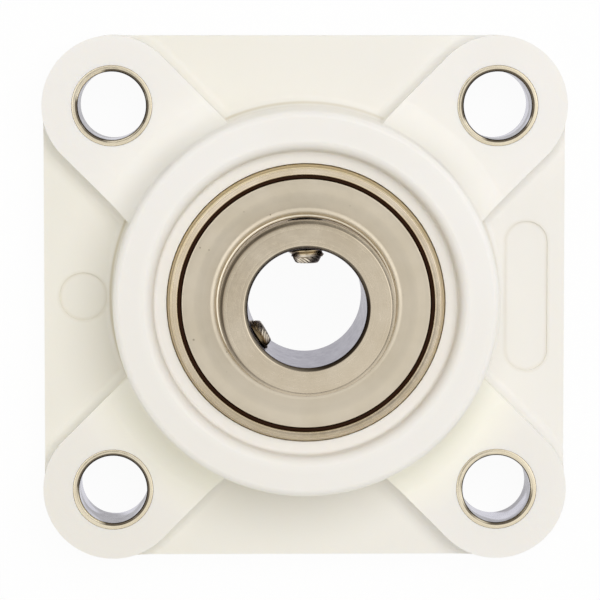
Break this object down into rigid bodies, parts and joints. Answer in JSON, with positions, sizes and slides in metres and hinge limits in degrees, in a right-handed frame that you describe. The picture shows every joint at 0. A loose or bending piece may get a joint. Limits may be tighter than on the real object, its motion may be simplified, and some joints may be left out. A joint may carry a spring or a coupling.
{
  "type": "four-bolt flange bearing",
  "caption": "Square moulded flange housing with steel bolt sleeves around a self-aligning ball bearing insert whose extended inner ring locks to the shaft with set screws.",
  "frame": {"origin": "centre of the mounting face, on the axis of the seat for the insert", "axes": "+Z along the shaft away from the mounting face, +X and +Y along the sides of the square flange"},
  "size_m": [0.0866, 0.0866, 0.0343],
  "materials": {
    "white_plastic": "moulded white thermoplastic, fine satin surface",
    "sleeve_steel": "turned stainless steel",
    "ring_steel": "ground stainless steel",
    "flinger_steel": "pressed stainless sheet, satin",
    "seal_steel": "pressed sheet steel",
    "seal_rubber": "dark brown nitrile rubber",
    "cage_steel": "pressed stainless sheet",
    "ball_steel": "polished stainless steel",
    "screw_steel": "stainless steel, cup point"
  },
  "bodies": {
    "housing": {"housing": "white_plastic", "bolt_sleeve_1": "sleeve_steel", "bolt_sleeve_2": "sleeve_steel", "bolt_sleeve_3": "sleeve_steel", "bolt_sleeve_4": "sleeve_steel"},
    "insert_outer": {"outer_ring": "ring_steel", "front_seal_plate": "seal_steel", "front_seal": "seal_rubber", "rear_seal_plate": "seal_steel", "rear_seal": "seal_rubber"},
    "insert_inner": {"inner_ring": "ring_steel", "front_flinger": "flinger_steel", "rear_flinger": "flinger_steel"},
    "cage": {"cage_front": "cage_steel", "cage_rear": "cage_steel", "cage_rivets": "cage_steel"},
    "rolling_ball_1": {"ball_1": "ball_steel"},
    "rolling_ball_2": {"ball_2": "ball_steel"},
    "rolling_ball_3": {"ball_3": "ball_steel"},
    "rolling_ball_4": {"ball_4": "ball_steel"},
    "rolling_ball_5": {"ball_5": "ball_steel"},
    "rolling_ball_6": {"ball_6": "ball_steel"},
    "rolling_ball_7": {"ball_7": "ball_steel"},
    "rolling_ball_8": {"ball_8": "ball_steel"},
    "screw_1": {"set_screw_1": "screw_steel"},
    "screw_2": {"set_screw_2": "screw_steel"}
  },
  "joints": [
    {"name": "insert_swivel", "type": "hinge", "parent": "housing", "child": "insert_outer", "pos_m": [0, 0, 0.016], "axis": [1, 0, 0], "range_deg": [-3, 3]},
    {"name": "shaft_spin", "type": "hinge", "parent": "insert_outer", "child": "insert_inner", "pos_m": [0, 0, 0.016], "axis": [0, 0, 1], "continuous": true},
    {"name": "cage_orbit", "type": "hinge", "parent": "insert_outer", "child": "cage", "pos_m": [0, 0, 0.016], "axis": [0, 0, 1], "continuous": true},
    {"name": "ball_1_spin", "type": "hinge", "parent": "cage", "child": "rolling_ball_1", "pos_m": [0.01675, 0, 0.016], "axis": [0, 0, 1], "continuous": true},
    {"name": "ball_2_spin", "type": "hinge", "parent": "cage", "child": "rolling_ball_2", "pos_m": [0.01184, 0.01184, 0.016], "axis": [0, 0, 1], "continuous": true},
    {"name": "ball_3_spin", "type": "hinge", "parent": "cage", "child": "rolling_ball_3", "pos_m": [0, 0.01675, 0.016], "axis": [0, 0, 1], "continuous": true},
    {"name": "ball_4_spin", "type": "hinge", "parent": "cage", "child": "rolling_ball_4", "pos_m": [-0.01184, 0.01184, 0.016], "axis": [0, 0, 1], "continuous": true},
    {"name": "ball_5_spin", "type": "hinge", "parent": "cage", "child": "rolling_ball_5", "pos_m": [-0.01675, 0, 0.016], "axis": [0, 0, 1], "continuous": true},
    {"name": "ball_6_spin", "type": "hinge", "parent": "cage", "child": "rolling_ball_6", "pos_m": [-0.01184, -0.01184, 0.016], "axis": [0, 0, 1], "continuous": true},
    {"name": "ball_7_spin", "type": "hinge", "parent": "cage", "child": "rolling_ball_7", "pos_m": [0, -0.01675, 0.016], "axis": [0, 0, 1], "continuous": true},
    {"name": "ball_8_spin", "type": "hinge", "parent": "cage", "child": "rolling_ball_8", "pos_m": [0.01184, -0.01184, 0.016], "axis": [0, 0, 1], "continuous": true},
    {"name": "set_screw_1_slide", "type": "slide", "parent": "insert_inner", "child": "screw_1", "axis": [0, 1, 0], "range_m": [0, 0.003]},
    {"name": "set_screw_2_slide", "type": "slide", "parent": "insert_inner", "child": "screw_2", "axis": [-0.866, -0.5, 0], "range_m": [0, 0.003]}
  ],
  "couplings": [
    {"joint": "cage_orbit", "follows": "shaft_spin", "ratio": 0.38152},
    {"joint": "ball_1_spin", "follows": "shaft_spin", "ratio": -1.9916},
    {"joint": "ball_2_spin", "follows": "shaft_spin", "ratio": -1.9916},
    {"joint": "ball_3_spin", "follows": "shaft_spin", "ratio": -1.9916},
    {"joint": "ball_4_spin", "follows": "shaft_spin", "ratio": -1.9916},
    {"joint": "ball_5_spin", "follows": "shaft_spin", "ratio": -1.9916},
    {"joint": "ball_6_spin", "follows": "shaft_spin", "ratio": -1.9916},
    {"joint": "ball_7_spin", "follows": "shaft_spin", "ratio": -1.9916},
    {"joint": "ball_8_spin", "follows": "shaft_spin", "ratio": -1.9916}
  ]
}
